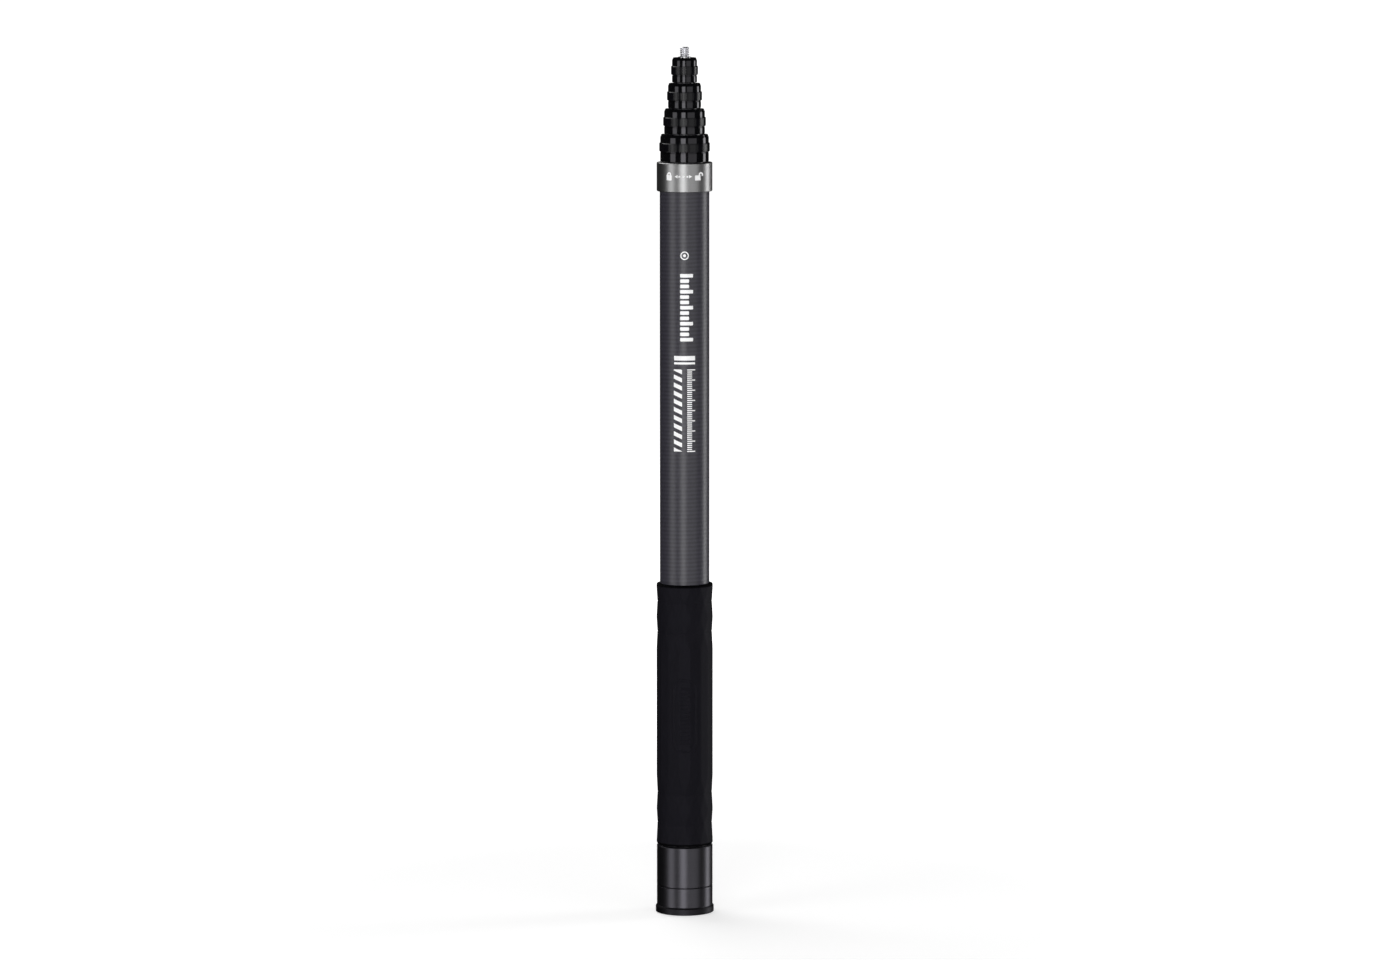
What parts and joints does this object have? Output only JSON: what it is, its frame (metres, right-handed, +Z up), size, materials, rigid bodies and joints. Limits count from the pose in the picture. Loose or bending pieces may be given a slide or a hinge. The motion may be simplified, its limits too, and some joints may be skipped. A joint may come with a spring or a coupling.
{
  "type": "boom pole",
  "caption": "Telescopic carbon boom pole, collapsed, with twist-lock collars, a waisted rubber grip, a screw stud at the tip and a screw-off foot cap.",
  "frame": {"origin": "centre of the foot on the ground", "axes": "+Z up along the pole to the tip; printed marks face -Y"},
  "size_m": [0.038, 0.038, 0.5659],
  "materials": {
    "carbon_tube": "carbon laminate tube, fine ridges, satin",
    "black_anodised": "black, polished",
    "knurled_band": "black, fine diamond knurl",
    "brushed_grey": "brushed round the axis, grey",
    "grip_rubber": "matte moulded rubber",
    "gunmetal": "dark anodised, fine turned lines",
    "nylon": "natural nylon",
    "seal_rubber": "soft rubber",
    "steel": "bright turned steel",
    "tip_alloy": "turned alloy",
    "brass": "plain turned brass"
  },
  "bodies": {
    "handle": {"outer_tube": "carbon_tube", "lock_ferrule_1": "black_anodised", "hand_grip": "grip_rubber", "base_sleeve": "gunmetal"},
    "section_2": {"tube_2": "carbon_tube", "guide_bush_2": "nylon", "lock_ferrule_2": "black_anodised"},
    "section_3": {"tube_3": "carbon_tube", "guide_bush_3": "nylon", "lock_ferrule_3": "black_anodised"},
    "section_4": {"tube_4": "carbon_tube", "guide_bush_4": "nylon", "lock_ferrule_4": "black_anodised"},
    "section_5": {"tube_5": "carbon_tube", "guide_bush_5": "nylon", "lock_ferrule_5": "black_anodised"},
    "section_6": {"tube_6": "carbon_tube", "guide_bush_6": "nylon", "tip_fitting": "tip_alloy", "tip_stud": "steel"},
    "lock_1_collet": {"collet_1": "nylon"},
    "lock_1": {"lock_ring_1": "brushed_grey", "wiper_1": "seal_rubber"},
    "lock_2_collet": {"collet_2": "nylon"},
    "lock_2": {"lock_ring_2": "black_anodised", "wiper_2": "seal_rubber", "grip_band_2": "knurled_band"},
    "lock_3_collet": {"collet_3": "nylon"},
    "lock_3": {"lock_ring_3": "black_anodised", "wiper_3": "seal_rubber", "grip_band_3": "knurled_band"},
    "lock_4_collet": {"collet_4": "nylon"},
    "lock_4": {"lock_ring_4": "black_anodised", "wiper_4": "seal_rubber", "grip_band_4": "knurled_band"},
    "lock_5_collet": {"collet_5": "nylon"},
    "lock_5": {"lock_ring_5": "black_anodised", "wiper_5": "seal_rubber", "grip_band_5": "knurled_band"},
    "cap_seal": {"cap_o_ring": "seal_rubber"},
    "cap": {"end_cap": "gunmetal", "cap_insert": "brass", "foot_pad": "seal_rubber", "bumper": "seal_rubber"}
  },
  "joints": [
    {"name": "section_2_slide", "type": "slide", "parent": "handle", "child": "section_2", "axis": [0, 0, 1], "range_m": [0, 0.4465]},
    {"name": "section_3_slide", "type": "slide", "parent": "section_2", "child": "section_3", "axis": [0, 0, 1], "range_m": [0, 0.4695]},
    {"name": "section_4_slide", "type": "slide", "parent": "section_3", "child": "section_4", "axis": [0, 0, 1], "range_m": [0, 0.486]},
    {"name": "section_5_slide", "type": "slide", "parent": "section_4", "child": "section_5", "axis": [0, 0, 1], "range_m": [0, 0.5025]},
    {"name": "section_6_slide", "type": "slide", "parent": "section_5", "child": "section_6", "axis": [0, 0, 1], "range_m": [0, 0.519]},
    {"name": "lock_1_lift", "type": "slide", "parent": "handle", "child": "lock_1_collet", "axis": [0, 0, 1], "range_m": [0, 0.0003]},
    {"name": "lock_1_turn", "type": "hinge", "parent": "lock_1_collet", "child": "lock_1", "pos_m": [0, 0, 0.5], "axis": [0, 0, 1], "range_deg": [0, 90]},
    {"name": "lock_2_lift", "type": "slide", "parent": "section_2", "child": "lock_2_collet", "axis": [0, 0, 1], "range_m": [0, 0.0003]},
    {"name": "lock_2_turn", "type": "hinge", "parent": "lock_2_collet", "child": "lock_2", "pos_m": [0, 0, 0.5], "axis": [0, 0, 1], "range_deg": [0, 90]},
    {"name": "lock_3_lift", "type": "slide", "parent": "section_3", "child": "lock_3_collet", "axis": [0, 0, 1], "range_m": [0, 0.0003]},
    {"name": "lock_3_turn", "type": "hinge", "parent": "lock_3_collet", "child": "lock_3", "pos_m": [0, 0, 0.5], "axis": [0, 0, 1], "range_deg": [0, 90]},
    {"name": "lock_4_lift", "type": "slide", "parent": "section_4", "child": "lock_4_collet", "axis": [0, 0, 1], "range_m": [0, 0.0003]},
    {"name": "lock_4_turn", "type": "hinge", "parent": "lock_4_collet", "child": "lock_4", "pos_m": [0, 0, 0.5], "axis": [0, 0, 1], "range_deg": [0, 90]},
    {"name": "lock_5_lift", "type": "slide", "parent": "section_5", "child": "lock_5_collet", "axis": [0, 0, 1], "range_m": [0, 0.0003]},
    {"name": "lock_5_turn", "type": "hinge", "parent": "lock_5_collet", "child": "lock_5", "pos_m": [0, 0, 0.5], "axis": [0, 0, 1], "range_deg": [0, 90]},
    {"name": "cap_unscrew_lift", "type": "slide", "parent": "handle", "child": "cap_seal", "axis": [0, 0, -1], "range_m": [0, 0.00562]},
    {"name": "cap_unscrew", "type": "hinge", "parent": "cap_seal", "child": "cap", "pos_m": [0, 0, 0.01], "axis": [0, 0, -1], "range_deg": [0, 1350]}
  ],
  "couplings": [
    {"joint": "lock_1_turn", "follows": "lock_1_lift", "rad_per_m": 5236},
    {"joint": "lock_2_turn", "follows": "lock_2_lift", "rad_per_m": 5236},
    {"joint": "lock_3_turn", "follows": "lock_3_lift", "rad_per_m": 5236},
    {"joint": "lock_4_turn", "follows": "lock_4_lift", "rad_per_m": 5236},
    {"joint": "lock_5_turn", "follows": "lock_5_lift", "rad_per_m": 5236},
    {"joint": "cap_unscrew", "follows": "cap_unscrew_lift", "rad_per_m": 4188.8}
  ]
}
